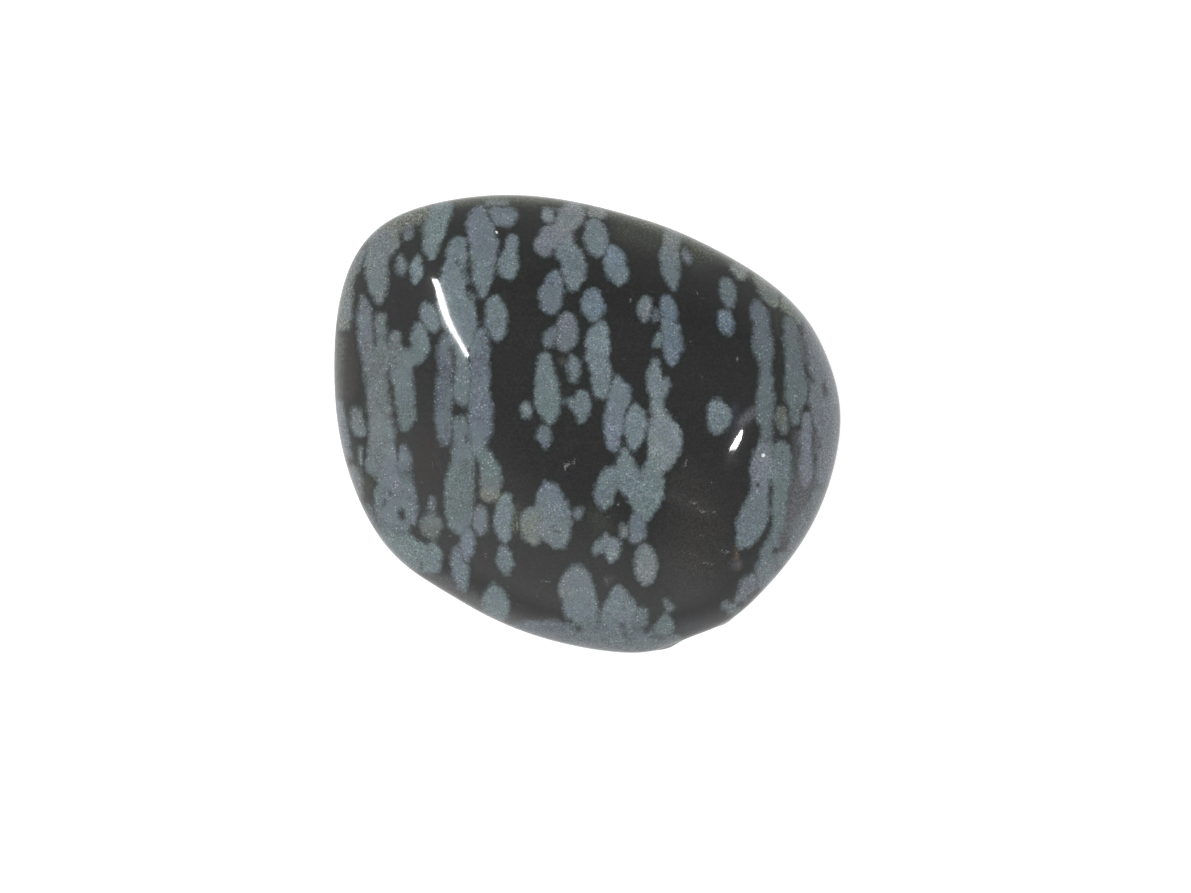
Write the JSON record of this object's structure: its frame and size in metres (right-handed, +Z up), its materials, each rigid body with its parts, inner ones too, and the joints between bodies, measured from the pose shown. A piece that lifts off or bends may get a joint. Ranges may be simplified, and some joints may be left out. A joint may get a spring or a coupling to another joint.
{
  "type": "tumbled snowflake obsidian stone",
  "caption": "Polished pebble of black volcanic glass with grey snowflake spots: a rounded, slightly angular body with a small flat foot on its underside.",
  "frame": {"origin": "middle of the underside of the stone's box, on the surface that it rests on", "axes": "+X along the longest way across, +Z up through the crown, which is the shortest way through"},
  "size_m": [0.03, 0.0272, 0.017],
  "materials": {
    "polished_obsidian": "tumbled to a high polish, black glass with pale grey spherulites"
  },
  "bodies": {
    "root": {"obsidian_pebble": "polished_obsidian"}
  },
  "joints": []
}
